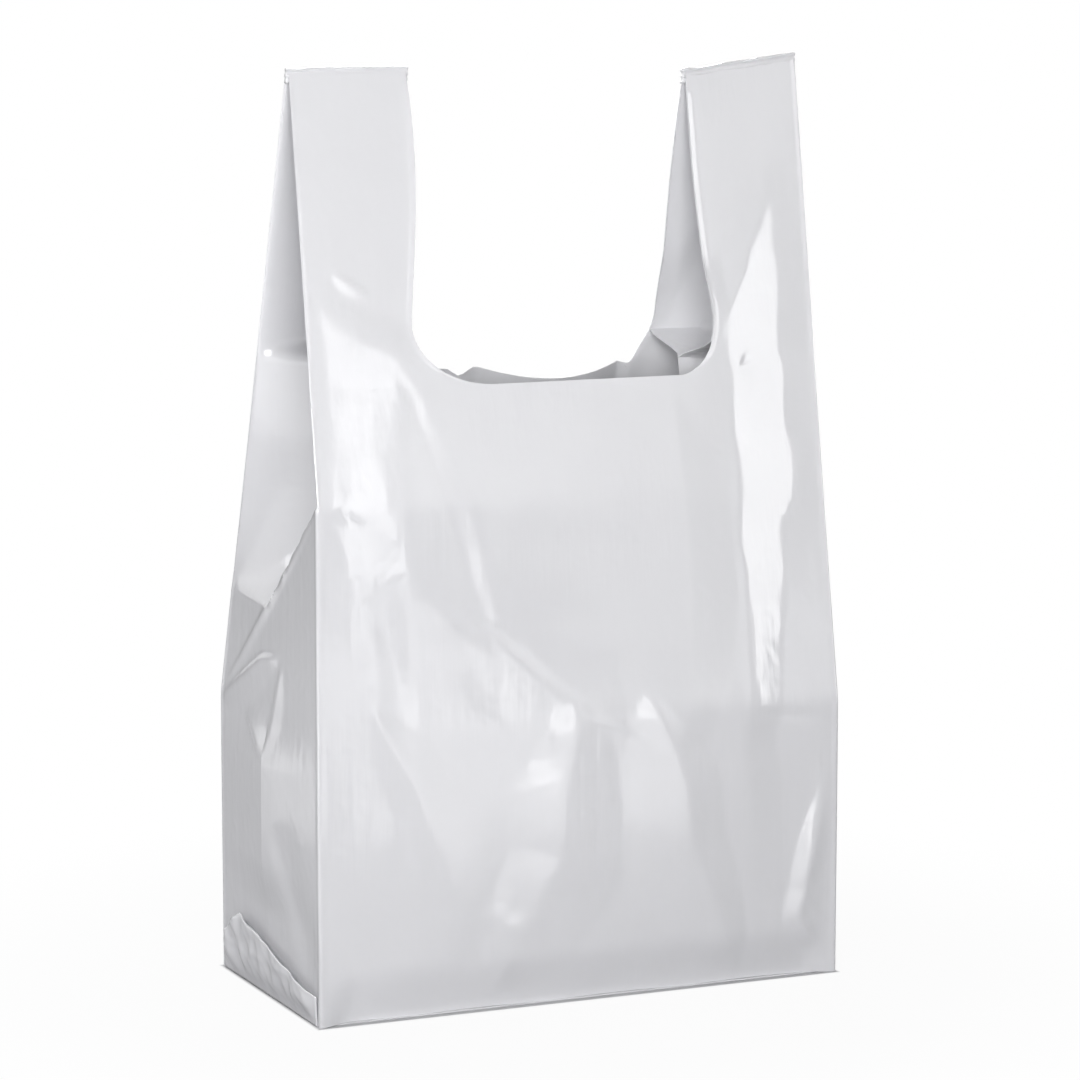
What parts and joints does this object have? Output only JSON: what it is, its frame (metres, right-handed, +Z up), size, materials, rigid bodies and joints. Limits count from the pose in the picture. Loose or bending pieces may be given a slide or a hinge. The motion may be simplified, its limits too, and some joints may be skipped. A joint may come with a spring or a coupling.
{
  "type": "plastic carrier bag",
  "caption": "Opaque white plastic vest carrier bag standing open on its block bottom, with loop handles, a U-shaped mouth and gusseted sides folded inwards.",
  "frame": {"origin": "centre of the base's underside", "axes": "+X across the front towards the bag's right handle as seen from the front, -Y out of the front panel, +Z up"},
  "size_m": [0.3141, 0.1554, 0.504],
  "materials": {
    "film": "glossy opaque white polyethylene film"
  },
  "bodies": {
    "root": {"bag": "film"}
  },
  "joints": []
}
